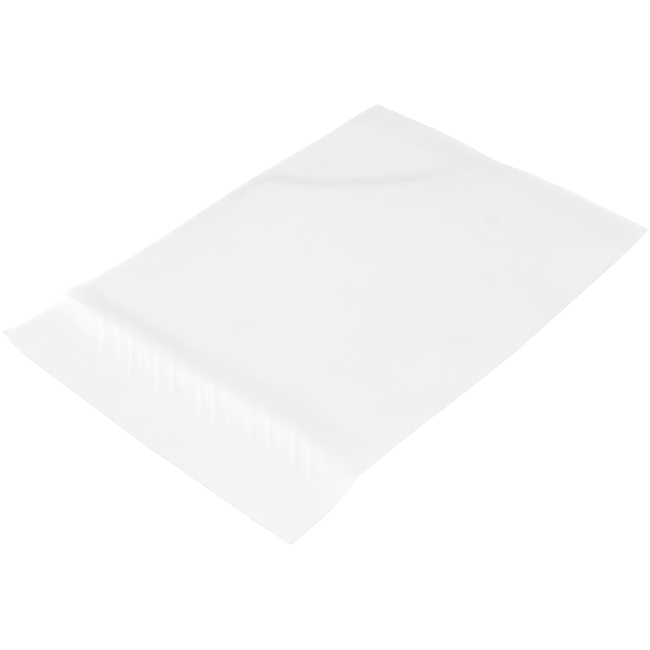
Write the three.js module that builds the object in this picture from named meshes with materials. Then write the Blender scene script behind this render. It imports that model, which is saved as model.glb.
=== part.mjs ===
// Empty resealable film bag, lying flat on its back wall with the mouth closed.
// Millimetres, +Z up. Origin on the resting surface, under the middle of the bag.
// +Y runs from the mouth to the bottom fold, +X across the width.
import * as THREE from 'three';
import { mergeVertices } from 'three/addons/utils/BufferGeometryUtils.js';

// ---- Driving dimensions -------------------------------------------------
const WIDTH = 150;          // across the bag, side weld to side weld
const LENGTH = 226;         // mouth edge to bottom fold, lip included
const EDGE = 0.4;           // thickness along the welds, the fold and the lip
const AIR = 2.0;            // height of the air left between the two walls
const SIDE_RISE = 30;       // how far in from a side weld the front wall levels off
const FOLD_RISE = 20;       // the same, in from the bottom fold
const CLOSURE_RISE = 24;    // the same, behind the closure
const LIFT_REACH = 36;      // how far in from an edge the back wall comes back down
const BEAD = 0.5;           // height of the closure's bead above the lip
const BEAD_WIDTH = 8;       // how far it reaches to either side
const CURL = 3.0;           // how far the left corner of the mouth curls up
const CURL_REACH = 15;      // how far in that curl starts

// Distance of the closure from the mouth edge, across the bag: [share of width, mm].
const CLOSURE_AT = [[0, 32], [0.17, 33], [0.33, 34.5], [0.5, 36.5], [0.67, 38], [0.83, 38.5], [1, 37.5]];
// How far the closure arches off the surface, across the bag: [share of width, mm].
const CLOSURE_LIFT = [[0, 1.7], [0.1, 1.6], [0.2, 1.5], [0.33, 1.5], [0.5, 1.4], [0.67, 1.7], [0.83, 2.2], [0.93, 2.8], [1, 3.4]];
// Height of each edge above the surface: [share of the edge, mm].
const MOUTH_EDGE = [[0, 0.6], [0.04, 0.35], [0.08, 0.15], [0.13, 0], [0.54, 0], [0.64, 0.3], [0.72, 0.5], [0.8, 0.75], [0.88, 1.1], [0.95, 1.5], [1, 2.0]];
const RIGHT_EDGE = [[0, 2.0], [0.05, 2.0], [0.09, 2.3], [0.125, 2.9], [0.16, 3.5], [0.2, 3.3], [0.26, 2.8], [0.32, 2.3], [0.38, 1.7], [0.44, 1.2], [0.5, 0.8], [0.56, 0.4], [0.64, 0.5], [0.74, 0.3], [0.84, 0.3], [0.92, 0.4], [1, 0.6]];
const LEFT_EDGE = [[0, 0.6], [0.04, 0.45], [0.065, 0.52], [0.085, 0.72], [0.106, 1.04], [0.12, 1.3], [0.135, 1.6], [0.15, 1.75], [0.166, 1.5], [0.18, 1.1], [0.24, 0.7], [0.3, 0.5], [0.44, 0.4], [0.6, 0.5], [0.76, 0.3], [0.92, 0.3], [1, 0.1]];
const BOTTOM_FOLD = [[0, 0.1], [0.12, 0.15], [0.28, 0.25], [0.36, 0.2], [0.48, 0.1], [0.53, 0.4], [0.6, 0.7], [0.72, 0.75], [0.84, 0.8], [0.93, 0.8], [1, 0.6]];
// The corner between the left weld and the bottom fold is pressed flat beyond a curved crease.
const CREASE = { along: 82, in: 66, depth: 0.55, width: 12 };

// Grid lines of the surfaces: distances from the mouth edge and from the left weld.
const ROWS = [0, 3, 6, 9, 12, 16, 20, 23, 26, 28, 30, 32, 34, 36, 38, 40, 42, 44, 47, 51, 57, 64, 72, 81, 90, 100, 110, 120, 128, 136, 144, 152, 160, 168, 176, 184, 191, 198, 204, 210, 214, 218, 221, 224, LENGTH];
const COLUMNS = [0, 3, 6, 9, 12, 18, 24, 30, 36, 42, 48, 54, 60, 66, 72, 80, 88, 96, 105, 114, 122, 129, 135, 140, 144, 147, WIDTH];

// ---- Shape --------------------------------------------------------------
const clamp01 = (u) => THREE.MathUtils.clamp(u, 0, 1);
const smooth = (u) => THREE.MathUtils.smoothstep(u, 0, 1);
const rise = (distance, reach) => 1 - (1 - clamp01(distance / reach)) ** 2;
const fall = (distance, reach) => (1 - clamp01(distance / reach)) ** 2;

// Value of a table of [share, mm] pairs, on straight lines from one pair to the next.
function along(table, share) {
  let i = 0;
  while (i < table.length - 2 && share > table[i + 1][0]) i += 1;
  const [[s0, v0], [s1, v1]] = [table[i], table[i + 1]];
  return v0 + (v1 - v0) * clamp01((share - s0) / (s1 - s0));
}

// Underside of the bag: down on the surface, and lifted towards its edges and its closure.
function underside(a, d) {                     // a from the left weld, d from the mouth edge
  const across = a / WIDTH;
  const down = d / LENGTH;
  const closure = along(CLOSURE_AT, across);
  const arch = along(CLOSURE_LIFT, across);
  if (d <= closure) {
    const mouth = along(MOUTH_EDGE, across);
    const lip = mouth + (arch - mouth) * (d / closure) ** 2.2;
    const left = along(LEFT_EDGE, down) * fall(a, LIFT_REACH * 0.6);
    const right = along(RIGHT_EDGE, down) * fall(WIDTH - a, LIFT_REACH * 0.6);
    return Math.max(lip, left, right) + CURL * fall(a + d, CURL_REACH);
  }
  return Math.max(
    arch * fall(d - closure, LIFT_REACH),
    along(LEFT_EDGE, down) * fall(a, LIFT_REACH),
    along(RIGHT_EDGE, down) * fall(WIDTH - a, LIFT_REACH),
    along(BOTTOM_FOLD, across) * fall(LENGTH - d, LIFT_REACH),
  );
}

// Height of the bag's body over its underside.
function thickness(a, d) {
  const closure = along(CLOSURE_AT, a / WIDTH);
  const inward = rise(Math.min(a, WIDTH - a), SIDE_RISE);
  const bead = BEAD * smooth(1 - Math.abs(d - closure) / BEAD_WIDTH) * rise(Math.min(a, WIDTH - a), 6);
  if (d <= closure) return EDGE + bead;
  const corner = Math.hypot(a / CREASE.in, (LENGTH - d) / CREASE.along);
  const pressed = CREASE.depth * smooth((1 - corner) * CREASE.in / CREASE.width);
  const air = AIR * inward * rise(LENGTH - d, FOLD_RISE) * smooth((d - closure) / CLOSURE_RISE) * (1 - pressed);
  return EDGE + Math.max(bead, air);
}

function filmBag() {
  const nx = COLUMNS.length - 1;
  const ny = ROWS.length - 1;
  const geometry = new THREE.BoxGeometry(nx, ny, 1, nx, ny, 1);
  const p = geometry.attributes.position;
  for (let i = 0; i < p.count; i += 1) {
    const a = COLUMNS[Math.round(p.getX(i) + nx / 2)];
    const d = ROWS[Math.round(p.getY(i) + ny / 2)];
    const low = underside(a, d);
    p.setXYZ(i, a - WIDTH / 2, d - LENGTH / 2, p.getZ(i) < 0 ? low : low + thickness(a, d));
  }
  geometry.deleteAttribute('uv');
  geometry.deleteAttribute('normal');
  const closed = mergeVertices(geometry, 1e-4);
  closed.computeVertexNormals();
  return closed;
}

const film = new THREE.MeshStandardMaterial({ name: 'film', color: 0xe9eeec, roughness: 0.22, metalness: 0, transparent: true, opacity: 0.5 });
const bag = new THREE.Mesh(filmBag(), film);
bag.name = 'bag';

const object = new THREE.Group();
object.name = 'resealable_bag';
object.add(bag);

export default object;
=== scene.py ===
import math

import bpy
import numpy as np
from mathutils import Matrix, Vector


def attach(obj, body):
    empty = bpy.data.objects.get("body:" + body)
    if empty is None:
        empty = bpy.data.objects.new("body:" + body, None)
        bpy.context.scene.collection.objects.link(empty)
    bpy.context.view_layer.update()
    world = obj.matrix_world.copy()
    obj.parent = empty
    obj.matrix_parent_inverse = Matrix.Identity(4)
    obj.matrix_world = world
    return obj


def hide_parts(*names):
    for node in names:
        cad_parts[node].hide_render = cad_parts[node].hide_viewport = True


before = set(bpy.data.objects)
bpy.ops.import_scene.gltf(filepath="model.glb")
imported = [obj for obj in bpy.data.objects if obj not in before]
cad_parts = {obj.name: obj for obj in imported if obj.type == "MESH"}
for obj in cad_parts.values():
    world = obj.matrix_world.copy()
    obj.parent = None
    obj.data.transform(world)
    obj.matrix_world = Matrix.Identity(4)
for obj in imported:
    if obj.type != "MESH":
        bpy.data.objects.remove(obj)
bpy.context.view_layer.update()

# ---------------------------------------------------------------------------
# The bag, in millimetres: a runs across from the left weld, d from the mouth edge to the bottom fold.
WIDTH, LENGTH = 150.0, 226.0
FILM = 0.06          # thickness of one wall
WELD = 1             # grid columns that the side weld takes up

# [share of the edge, mm above the surface]
MOUTH_EDGE = [(0, 0.6), (0.04, 0.35), (0.08, 0.15), (0.13, 0.05), (0.3, 0), (0.52, 0), (0.64, 0.3), (0.72, 0.5), (0.8, 0.75), (0.88, 1.1), (0.95, 1.5), (1, 2.0)]
RIGHT_EDGE = [(0, 2.0), (0.05, 2.0), (0.09, 2.3), (0.125, 2.9), (0.16, 3.5), (0.2, 3.3), (0.26, 2.8), (0.32, 2.3), (0.38, 1.7), (0.44, 1.2), (0.5, 0.8), (0.56, 0.4), (0.64, 0.5), (0.74, 0.3), (0.84, 0.3), (0.92, 0.4), (1, 0.6)]
LEFT_EDGE = [(0, 0.6), (0.04, 0.45), (0.065, 0.52), (0.085, 0.72), (0.106, 1.04), (0.12, 1.3), (0.135, 1.6), (0.146, 1.75), (0.154, 1.75), (0.166, 1.5), (0.18, 1.1), (0.195, 0.9), (0.24, 0.7), (0.29, 0.5), (0.36, 0.4), (0.44, 0.4), (0.52, 0.4), (0.6, 0.5), (0.68, 0.4), (0.76, 0.3), (0.84, 0.25), (0.92, 0.3), (1, 0.1)]
BOTTOM_FOLD = [(0, 0.1), (0.12, 0.15), (0.28, 0.25), (0.36, 0.2), (0.43, 0.12), (0.48, 0.1), (0.53, 0.4), (0.6, 0.7), (0.72, 0.75), (0.84, 0.8), (0.93, 0.8), (1, 0.6)]
# [share of the edge, mm that it lies outside the plain rectangle]
MOUTH_OUT = [(0, -0.2), (0.04, -0.2), (0.08, 0), (0.13, 0), (0.3, 0), (0.52, 0), (0.64, -0.42), (0.72, -0.74), (0.8, -1.06), (0.88, -1.1), (0.95, -1.5), (1, -1.86)]
RIGHT_OUT = [(0, -1.9), (0.05, -1.6), (0.09, -1.7), (0.125, -2.4), (0.16, -3.4), (0.2, -3.2), (0.26, -2.9), (0.32, -2.4), (0.38, -1.65), (0.44, -1.14), (0.5, -0.66), (0.56, -0.17), (0.64, -0.07), (0.84, 0), (0.92, -0.17), (0.97, -0.55), (1, -1.1)]
LEFT_OUT = [(0, 0.7), (0.04, 0.9), (0.085, 1.24), (0.102, 1.24), (0.112, 0.62), (0.119, 0.48), (0.126, 1.66), (0.133, 2.68), (0.152, 2.74), (0.166, 2.43), (0.19, 1.67), (0.24, 1.1), (0.29, 0.65), (0.36, 0.68), (0.44, 1.23), (0.52, 1.87), (0.6, 2.14), (0.68, 1.7), (0.76, 1.25), (0.84, 0.7), (0.92, 1.07), (1, 0.15)]
FOLD_OUT = [(0, 0), (0.12, 0.86), (0.28, 1.76), (0.36, 1.38), (0.43, 0.6), (0.48, 0.2), (0.53, 0.9), (0.6, 1.98), (0.68, 2.55), (0.72, 3.1), (0.78, 3.26), (0.84, 3.12), (0.93, 3.22), (1, 2.94)]
# The closure: how far its middle is from the mouth edge, and how far it arches off the surface.
CLOSURE_AT = [(0, 32), (0.17, 33), (0.33, 34.5), (0.5, 36.5), (0.67, 38), (0.83, 38.5), (1, 37.5)]
CLOSURE_LIFT = [(0, 2.2), (0.1, 2.0), (0.2, 1.85), (0.33, 1.7), (0.5, 1.6), (0.67, 1.8), (0.83, 2.3), (0.93, 2.9), (1, 3.3)]


def table(pairs, s):
    """Smooth monotone curve through [share, value] pairs."""
    x, y = np.array(pairs, float).T
    h, m = np.diff(x), np.diff(y) / np.diff(x)
    t = np.zeros_like(y)
    same = m[:-1] * m[1:] > 0
    w1, w2 = 2 * h[1:] + h[:-1], h[1:] + 2 * h[:-1]
    with np.errstate(divide="ignore", invalid="ignore"):
        t[1:-1] = np.where(same, (w1 + w2) / (w1 / m[:-1] + w2 / m[1:]), 0)
    t[0], t[-1] = m[0], m[-1]
    s = np.clip(np.asarray(s, float), x[0], x[-1])
    i = np.clip(np.searchsorted(x, s, side="right") - 1, 0, len(h) - 1)
    u = (s - x[i]) / h[i]
    return y[i] * (1 + 2 * u) * (1 - u) ** 2 + t[i] * h[i] * u * (1 - u) ** 2 + y[i + 1] * u * u * (3 - 2 * u) + t[i + 1] * h[i] * u * u * (u - 1)


def fall(x, reach):
    return (1 - np.clip(x / reach, 0, 1)) ** 2


def ease(x, reach):
    """1 to 0 over reach, level at both ends."""
    u = np.clip(x / reach, 0, 1)
    return (1 - u) ** 2 * (1 + 2 * u)


def step(x):
    """0 to 1, smooth, over x from -1 to 1."""
    u = np.clip((x + 1) / 2, 0, 1)
    return u * u * u * (u * (6 * u - 15) + 10)


def ramp_in(u, e):
    """0 before u = 0, straight to 1 at u = 1, with both corners rounded over e."""
    def soft(v):
        return np.where(v <= 0, 0, np.where(v < e, v * v / (2 * e), v - e / 2))
    return soft(u + e / 2) - soft(u - 1 + e / 2)


def plan(a, d):
    """Place on the surface of a point of the flat bag."""
    u, v = a / WIDTH, d / LENGTH
    x = a - table(LEFT_OUT, v) * (1 - u) + table(RIGHT_OUT, v) * u
    y = d - table(MOUTH_OUT, u) * (1 - v) ** 2 + table(FOLD_OUT, u) * v**2
    return x - WIDTH / 2, y - LENGTH / 2


def closure_sides(across):
    """Distances from the mouth edge of the closure's front and back flanks, and half the width of each."""
    at = table(CLOSURE_AT, across)
    front = at - table([(0, 3.6), (0.15, 4.0), (0.3, 4.2), (0.5, 4.6), (0.75, 4.4), (1, 4.0)], across)
    back = at + table([(0, 4.4), (0.1, 5.6), (0.25, 6.8), (0.4, 6.6), (0.55, 7.4), (0.67, 8.2), (0.83, 8.6), (1, 8)], across)
    front_half = table([(0, 5.6), (0.15, 6.8), (0.3, 7.0), (1, 6.6)], across)
    back_half = table([(0, 8.5), (0.3, 9), (0.45, 9.5), (0.6, 10), (0.75, 10.5), (1, 11)], across)
    return front, back, front_half, back_half


def crease(a, d):
    """A low ridge in both walls, round the corner between the left weld and the fold; steep towards the corner."""
    p = 1.6
    beyond = 70 * (1 - ((np.abs(a) / 66) ** p + ((LENGTH - d) / 82) ** p) ** (1 / p))
    turn = np.arctan2((LENGTH - d) / 82, a / 66)
    height = (1.06 + 0.28 * np.exp(-(((turn - 0.75) / 0.4) ** 2))) * (0.4 + 0.6 * step((turn - 0.36) / 0.3))
    return height * np.where(beyond > -6.2, 1 - step(beyond / 6.2), ease(-6.2 - beyond, 75))


def back_wall(a, d):
    """Height of the back wall: on the surface, lifted where the edges, the closure and the crease are."""
    across, down = a / WIDTH, d / LENGTH
    at = table(CLOSURE_AT, across)

    def inner(x):
        """Before the side edges are let in, at share x across."""
        lift = table(CLOSURE_LIFT, x)
        mouth, fold = table(MOUTH_EDGE, x), table(BOTTOM_FOLD, x)
        front, back, front_half, back_half = closure_sides(x)
        shelf = table([(0, 0.78), (0.1, 0.84), (0.2, 0.8), (0.35, 0.64), (0.45, 0.56), (0.6, 0.54), (1, 0.5)], x)
        rise = table([(0, 2), (0.6, 2), (0.85, 1.5), (1, 1.25)], x)
        up = mouth + (lift - mouth - shelf) * np.clip(d / (front + front_half), 0, 1) ** rise + shelf * step((d - front) / front_half)
        drop = np.minimum(table([(0, 1.3), (0.15, 1.35), (0.28, 1.42), (0.4, 1.2), (0.55, 1.15), (0.75, 1.0), (1, 0.9)], x), lift)
        reach = table([(0, 44), (0.5, 38), (0.75, 50), (1, 64)], x)
        core = table([(0, 0.13), (0.35, 0.13), (0.55, 0.03), (0.7, 0), (1, 0)], x)
        down = (lift - drop) * (1 - fall(d - back, reach)) + drop * ((1 - core) * step((d - back + 1.0) / back_half) + core * step((d - back) / 3.8))
        return up - down + fold * ease(LENGTH - d, table([(0, 44), (0.5, 44), (0.7, 72), (1, 90)], x))

    reach = 14 + 44 * step((d - at - 16) / 18)
    z = inner(across) + crease(a, d) * (1 - ease(a, 10))
    z = z + (table(LEFT_EDGE, down) - inner(np.zeros_like(a))) * ease(a, reach)
    z = z + (table(RIGHT_EDGE, down) - inner(np.ones_like(a))) * ease(WIDTH - a, reach)
    # the left corner of the mouth curls up
    return np.maximum(z, 0) + 3.0 * fall(a + d, 15)


# Puckers in the front wall, between the closure and the lip: place across, length, half-width at the closure, steepest slope.
PUCKERS = [
    (13, 15, 2.1, 0.15), (17, 16, 1.9, 0.16), (24.8, 20, 2.0, 0.25), (33.8, 22, 1.8, 0.22), (40.3, 23, 1.7, 0.29), (45.3, 16, 1.6, 0.17), (49.7, 18, 1.7, 0.22), (54.8, 22, 1.7, 0.26), (62.2, 20, 1.9, 0.30),
    (70.3, 15, 1.5, 0.20), (76, 25, 1.6, 0.32), (82.9, 25, 1.8, 0.28), (90.1, 20, 1.7, 0.24), (95.5, 14, 1.4, 0.21), (100.1, 24, 1.6, 0.33), (108.7, 21, 1.7, 0.29),
    (113.9, 19, 1.5, 0.27), (120.7, 22, 1.7, 0.29), (128, 23, 1.7, 0.33), (134.7, 19, 1.5, 0.26), (141.7, 14, 1.4, 0.2),
]


def puckers(a, d, front):
    """Gathers that taper away from the closure."""
    z = np.zeros_like(a)
    for x0, length, width, slope in PUCKERS:
        lean = math.radians(45 - 10 * x0 / WIDTH)
        c, s = math.cos(lean), math.sin(lean)
        d0 = float(np.interp(x0, front[0], front[1]))
        run = (a - x0) * s - (d - d0) * c      # away from the closure, along the pucker
        off = (a - x0) * c + (d - d0) * s
        u = np.clip(run / length, 0, 1)
        half = width * (1 - 0.4 * u)
        height = slope * 2 * half / math.pi * (1 + 0.3 * u) * (1 - u**3) * step((run + 3.5) / 4.0)
        z = z + height * (0.5 + 0.5 * np.cos(math.pi * np.clip(off / half, -1, 1)))
    return z


# Air between the walls, in mm: rows from the closure to the bottom fold, columns from the left weld to the right one.
AIR = np.array([
    [0.5, 0.5, 0.5, 0.5, 0.5, 0.5],
    [0.9, 1.0, 1.0, 1.0, 1.0, 0.9],
    [1.2, 1.4, 1.4, 1.4, 1.4, 1.2],
    [1.4, 1.6, 1.6, 1.6, 1.5, 1.3],
    [1.4, 1.7, 1.7, 1.7, 1.6, 1.4],
    [1.5, 1.9, 1.5, 1.5, 1.3, 1.2],
    [1.3, 1.4, 1.1, 0.93, 1.0, 1.32],
    [1.15, 0.98, 0.55, 0.48, 0.85, 1.42],
])
AIR_FROM = 44.0


def spline(net, u, v):
    """Smooth surface over a net of heights; u runs down its rows and v along them, both from 0 to 1."""
    def weights(t, n):
        t = np.clip(t, 0, 1) * (n - 1)
        i = np.clip(np.floor(t).astype(int), 0, n - 2)
        f = t - i
        return i, ((1 - f) ** 3 / 6, (3 * f**3 - 6 * f**2 + 4) / 6, (-3 * f**3 + 3 * f**2 + 3 * f + 1) / 6, f**3 / 6)
    padded = np.pad(net, 1, mode="reflect", reflect_type="odd")
    i, wu = weights(u, net.shape[0])
    j, wv = weights(v, net.shape[1])
    return sum(wu[p] * wv[q] * padded[i + p, j + q] for p in range(4) for q in range(4))


def fold_line(a, d, x0, d0, x1, d1, width, depth):
    """A low rise that ends in a soft step down across a line from (x0, d0) to (x1, d1), fading towards both ends."""
    lx, ld = x1 - x0, d1 - d0
    n = math.hypot(lx, ld)
    along = ((a - x0) * lx + (d - d0) * ld) / n
    off = ((d - d0) * lx - (a - x0) * ld) / n
    near = np.clip(1 - (2 * along / n - 1) ** 2, 0, 1)
    return depth * (1 - step(off / width)) * near * ease(-width - off, 6 * width)


def front_wall(a, d):
    """Height of the front wall."""
    across = a / WIDTH
    side = np.minimum(a, WIDTH - a)
    low = back_wall(a, d)
    front, back, front_half, back_half = closure_sides(across)
    bead = table([(0, 0.25), (0.1, 0.3), (0.5, 0.35), (0.8, 0.3), (1, 0.25)], across)
    bead = bead * step((d - front) / front_half) * (1 - step((d - back) / back_half))
    air = spline(AIR, (d - AIR_FROM) / (LENGTH - AIR_FROM), across) * step((d - back - 4) / (back_half + 8))
    # a band along the fold falls to it, and levels out before it in places
    band_in = table([(0, 205), (0.15, 205), (0.3, 208), (0.4, 210), (0.52, 215), (0.6, 211), (0.72, 206), (0.85, 202), (1, 200)], across)
    level = table([(0, 0), (0.2, 0), (0.26, 1), (0.38, 1), (0.44, 0), (0.58, 0), (0.64, 1), (0.8, 1), (0.83, 0.5), (0.86, 1), (1, 1)], across)
    band_out = LENGTH + 1.5 - 6.5 * level
    s = ramp_in((d - band_in) / (band_out - band_in), 0.14)
    end = ramp_in((LENGTH - band_in) / (band_out - band_in), 0.14)
    air = air * (1 - s / end) * (1 - ease(side, 30 - 21 * step((d - 190) / 20)))
    z = low + bead * (1 - ease(side, 9)) + air
    # faint folds, and a small dent
    z = z + (fold_line(a, d, 104, 86, 166, 158, 4.2, 0.54) + fold_line(a, d, 128, 60, 166, 109, 4.2, 0.68)) * (1 - fall(side, 6))
    # a soft roll beside the right weld
    z = z + 0.4 * ease(np.abs(d - 147), 24) * np.where(a > 143.5, ease(a - 143.5, 6), ease(143.5 - a, 30))
    past = d - 188.5
    z = z - 0.8 * np.exp(-(((a - 94) / 4.2) ** 2)) * np.where(past < 0, np.exp(-((past / 3.0) ** 2)), ease(past, 30))
    xs = np.linspace(0, WIDTH, 61)
    z = z + puckers(a, d, (xs, closure_sides(xs / WIDTH)[0] + 2.5)) * (1 - fall(side, 5))
    return np.maximum(z, low)


def columns():
    """Three spacings across the bag, all with the same close columns at the welds."""
    edge = np.array([0, 0.18, 0.7, 1.5])
    inside = np.linspace(2.4, WIDTH - 2.4, 121)
    fine = np.interp(np.arange(0, 120.01, 1 / 3), np.arange(121), inside)
    return [np.concatenate([edge, x, WIDTH - edge[::-1]]) for x in (inside, fine, inside[::4])]


def build_film(name):
    mid, fine, coarse = columns()
    rows = np.concatenate([np.arange(0, 14, 1.4), np.arange(14.2, 40, 0.65), np.arange(40.6, 56, 1.0), np.arange(57, 150, 1.9), np.arange(150.3, LENGTH - 0.9, 1.35), [LENGTH - 0.6, LENGTH - 0.25, LENGTH]])
    ny = len(rows)
    points, faces = [], []

    def add(x, y, z):
        first = len(points)
        points.extend(zip(*plan(x, y), z))
        return list(range(first, first + len(x)))

    def sew(p, px, q, qx, flip):
        """Faces between two rows of points that both run across the bag."""
        if len(p) == len(q) and np.allclose(px, qx):
            for i in range(len(p) - 1):
                f = (p[i], p[i + 1], q[i + 1], q[i])
                faces.append(f[::-1] if flip else f)
            return
        i = j = 0
        while i < len(p) - 1 or j < len(q) - 1:
            if j == len(q) - 1 or (i < len(p) - 1 and px[i + 1] <= qx[j + 1]):
                f = (p[i], p[i + 1], q[j])
                i += 1
            else:
                f = (p[i], q[j + 1], q[j])
                j += 1
            faces.append(f[::-1] if flip else f)

    top, low, top_in, low_in = [], [], [], []
    for k, d in enumerate(rows):
        cols = fine if 14 <= d <= 39 else mid
        low_cols = coarse if 60 < d < 200 else mid
        dd = np.full_like(cols, d)
        b = back_wall(cols, dd)
        gap = 2 * FILM + 0.05
        taper = np.clip(np.minimum(cols, WIDTH - cols) / 3, 0, 1) * min(1, (LENGTH - d) / 0.6)
        thin = FILM * taper
        t = front_wall(cols, dd) + gap * taper
        t[0], t[-1] = b[0], b[-1]
        bc = back_wall(low_cols, np.full_like(low_cols, d))
        last = k == ny - 1
        up = add(cols, dd, t)
        top.append((up, cols))
        if last:
            low.append((up, cols))
        else:
            inner = add(low_cols[1:-1], np.full(len(low_cols) - 2, d), bc[1:-1])
            low.append(([up[0], *inner, up[-1]], low_cols))
        if k <= ny - 2:
            w = WELD
            ti = t[w:-w] - thin[w:-w]
            bi = bc[w:-w] + np.interp(low_cols[w:-w], cols, thin)
            closing = k == ny - 2
            seam_l, seam_r = (t[w] + bc[w]) / 2, (t[-w - 1] + bc[-w - 1]) / 2
            ti[0], ti[-1] = seam_l, seam_r
            xi, xc = cols[w:-w], low_cols[w:-w]
            if closing:
                ti = (t[w:-w] + b[w:-w]) / 2
            a_in = add(xi, np.full_like(xi, d), ti)
            top_in.append((a_in, xi))
            if closing:
                low_in.append((a_in, xi))
            else:
                c_in = add(xc[1:-1], np.full(len(xc) - 2, d), bi[1:-1])
                low_in.append(([a_in[0], *c_in, a_in[-1]], xc))
    for k in range(ny - 1):
        sew(*top[k], *top[k + 1], False)
        sew(*low[k], *low[k + 1], True)
        if k < ny - 2:
            sew(*top_in[k], *top_in[k + 1], True)
            sew(*low_in[k], *low_in[k + 1], False)
    # the mouth: the cut edges of the two walls, and of the welds at both ends
    w = WELD
    sew(top_in[0][0], top_in[0][1], top[0][0][w:-w], top[0][1][w:-w], False)
    sew(low[0][0][w:-w], low[0][1][w:-w], low_in[0][0], low_in[0][1], False)
    t0, b0 = top[0][0], low[0][0]
    pin = top_in[0][0][0]
    for i in range(w):
        faces.append((pin, t0[i + 1], t0[i]))
        faces.append((pin, b0[i], b0[i + 1]))
    pin = top_in[0][0][-1]
    n, m = len(t0) - 1, len(b0) - 1
    for i in range(w):
        faces.append((pin, t0[n - i], t0[n - i - 1]))
        faces.append((pin, b0[m - i - 1], b0[m - i]))
    mesh = bpy.data.meshes.new(name)
    mesh.from_pydata((np.array(points, float) / 1000).tolist(), [], faces)
    mesh.validate()
    mesh.update()
    mesh.shade_smooth()
    obj = bpy.data.objects.new(name, mesh)
    bpy.context.collection.objects.link(obj)
    return obj


# ---------------------------------------------------------------------------
def film_material():
    mat = bpy.data.materials.new("film")
    mat.use_nodes = True
    nt = mat.node_tree
    nodes, links = nt.nodes, nt.links
    bsdf = nodes["Principled BSDF"]
    bsdf.inputs["Alpha"].default_value = 0.12
    bsdf.inputs["IOR"].default_value = 4.5
    coord = nodes.new("ShaderNodeTexCoord")
    # cloudiness of the film
    cloud = nodes.new("ShaderNodeTexNoise")
    cloud.inputs["Scale"].default_value = 22
    cloud.inputs["Detail"].default_value = 3
    links.new(coord.outputs["Object"], cloud.inputs["Vector"])
    tint = nodes.new("ShaderNodeValToRGB")
    tint.color_ramp.elements[0].position, tint.color_ramp.elements[1].position = 0.3, 0.7
    tint.color_ramp.elements[0].color = (0.812, 0.866, 0.852, 1)
    tint.color_ramp.elements[1].color = (0.837, 0.891, 0.877, 1)
    links.new(cloud.outputs["Fac"], tint.inputs["Fac"])
    links.new(tint.outputs["Color"], bsdf.inputs["Base Color"])
    # die lines along the length
    stretch = nodes.new("ShaderNodeMapping")
    stretch.inputs["Scale"].default_value = (900, 12, 12)
    links.new(coord.outputs["Object"], stretch.inputs["Vector"])
    lines = nodes.new("ShaderNodeTexNoise")
    lines.inputs["Scale"].default_value = 1
    lines.inputs["Detail"].default_value = 2
    links.new(stretch.outputs["Vector"], lines.inputs["Vector"])
    rough = nodes.new("ShaderNodeMapRange")
    rough.inputs["To Min"].default_value, rough.inputs["To Max"].default_value = 0.10, 0.14
    links.new(lines.outputs["Fac"], rough.inputs["Value"])
    links.new(rough.outputs["Result"], bsdf.inputs["Roughness"])
    return mat


film = build_film("bag_film")
film.data.materials.append(film_material())
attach(film, "root")
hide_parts("bag")

# ---------------------------------------------------------------------------
# Floor, light and camera
half = 3.0
floor_mesh = bpy.data.meshes.new("floor")
floor_mesh.from_pydata([(-half, -half, -0.0002), (half, -half, -0.0002), (half, half, -0.0002), (-half, half, -0.0002)], [], [(0, 1, 2, 3)])
floor = bpy.data.objects.new("floor", floor_mesh)
bpy.context.collection.objects.link(floor)
fmat = bpy.data.materials.new("floor")
fmat.use_nodes = True
fb = fmat.node_tree.nodes["Principled BSDF"]
fb.inputs["Base Color"].default_value = (0.8, 0.8, 0.8, 1)
fb.inputs["Roughness"].default_value = 0.9
fb.inputs["Specular IOR Level"].default_value = 0.0
fb.inputs["Emission Color"].default_value = (1, 1, 1, 1)
fb.inputs["Emission Strength"].default_value = 0.42
floor.data.materials.append(fmat)

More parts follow.
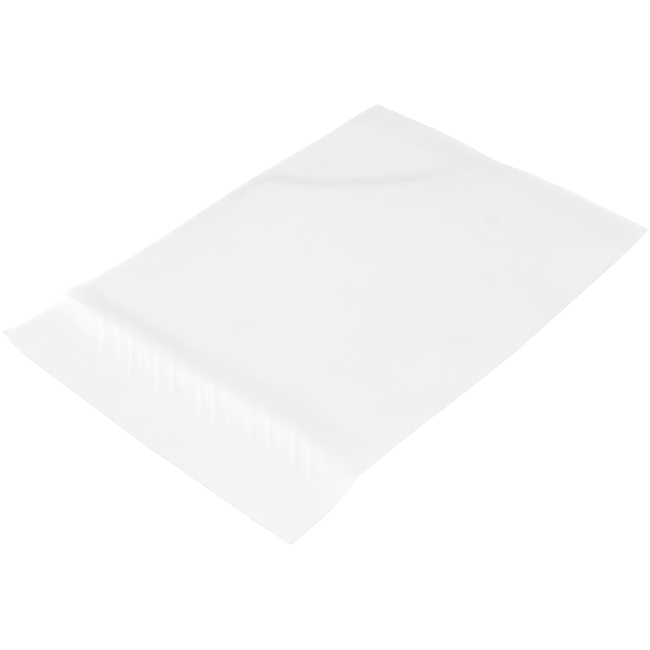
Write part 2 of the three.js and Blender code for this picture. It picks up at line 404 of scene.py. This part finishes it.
scene = bpy.context.scene
scene.view_settings.view_transform = "Standard"
world = bpy.data.worlds.new("studio")
scene.world = world
world.use_nodes = True
wn, wl = world.node_tree.nodes, world.node_tree.links
bg = wn["Background"]
wc = wn.new("ShaderNodeTexCoord")
tilt = wn.new("ShaderNodeVectorMath")
tilt.operation = "DOT_PRODUCT"
tilt.inputs[1].default_value = (-0.1, -0.25, 0.85)
wl.new(wc.outputs["Generated"], tilt.inputs[0])
ramp = wn.new("ShaderNodeValToRGB")
ramp.color_ramp.interpolation = "LINEAR"
stops = [(0.0, 0.03), (0.1, 0.07), (0.2, 0.155), (0.28, 0.275), (0.32, 0.345), (0.37, 0.4), (0.42, 0.44), (0.46, 0.48), (0.5, 0.525), (0.56, 0.545), (0.59, 0.61), (0.62, 0.645), (0.66, 0.695), (0.69, 0.79), (0.75, 0.95), (0.78, 1.0), (0.81, 0.62), (0.86, 0.55), (0.9, 0.7)]
els = ramp.color_ramp.elements
while len(els) < len(stops):
    els.new(0.5)
for e, (p, v) in zip(els, stops):
    e.position, e.color = p, (v, v, v, 1)
wl.new(tilt.outputs["Value"], ramp.inputs["Fac"])
wl.new(ramp.outputs["Color"], bg.inputs["Color"])
bg.inputs["Strength"].default_value = 1.55


def softbox(name, towards, distance, size, radiance):
    """A square light that faces the bag, from the direction towards."""
    data = bpy.data.lights.new(name, "AREA")
    data.shape, data.size = "SQUARE", size
    data.energy = radiance * math.pi * size * size
    lamp = bpy.data.objects.new(name, data)
    bpy.context.collection.objects.link(lamp)
    way = Vector(towards).normalized()
    lamp.location = way * distance
    lamp.rotation_mode = "QUATERNION"
    lamp.rotation_quaternion = way.to_track_quat("Z", "Y")


softbox("key", (-0.82, 0.06, 0.566), 4.0, 1.9, 0.62)

cam_data = bpy.data.cameras.new("camera")
cam = bpy.data.objects.new("camera", cam_data)
bpy.context.collection.objects.link(cam)
cam_data.sensor_width = 36
cam_data.lens = 66.1
cam_data.clip_start, cam_data.clip_end = 0.01, 20
turn = Matrix(((0.7510775, -0.4621790, 0.4714584), (0.6598591, 0.5020941, -0.5590058), (0.0216443, 0.7309528, 0.6820846)))
cam.matrix_world = Matrix.Translation(Vector((0.2303911, -0.2840487, 0.3179315))) @ turn.to_4x4()
scene.camera = cam
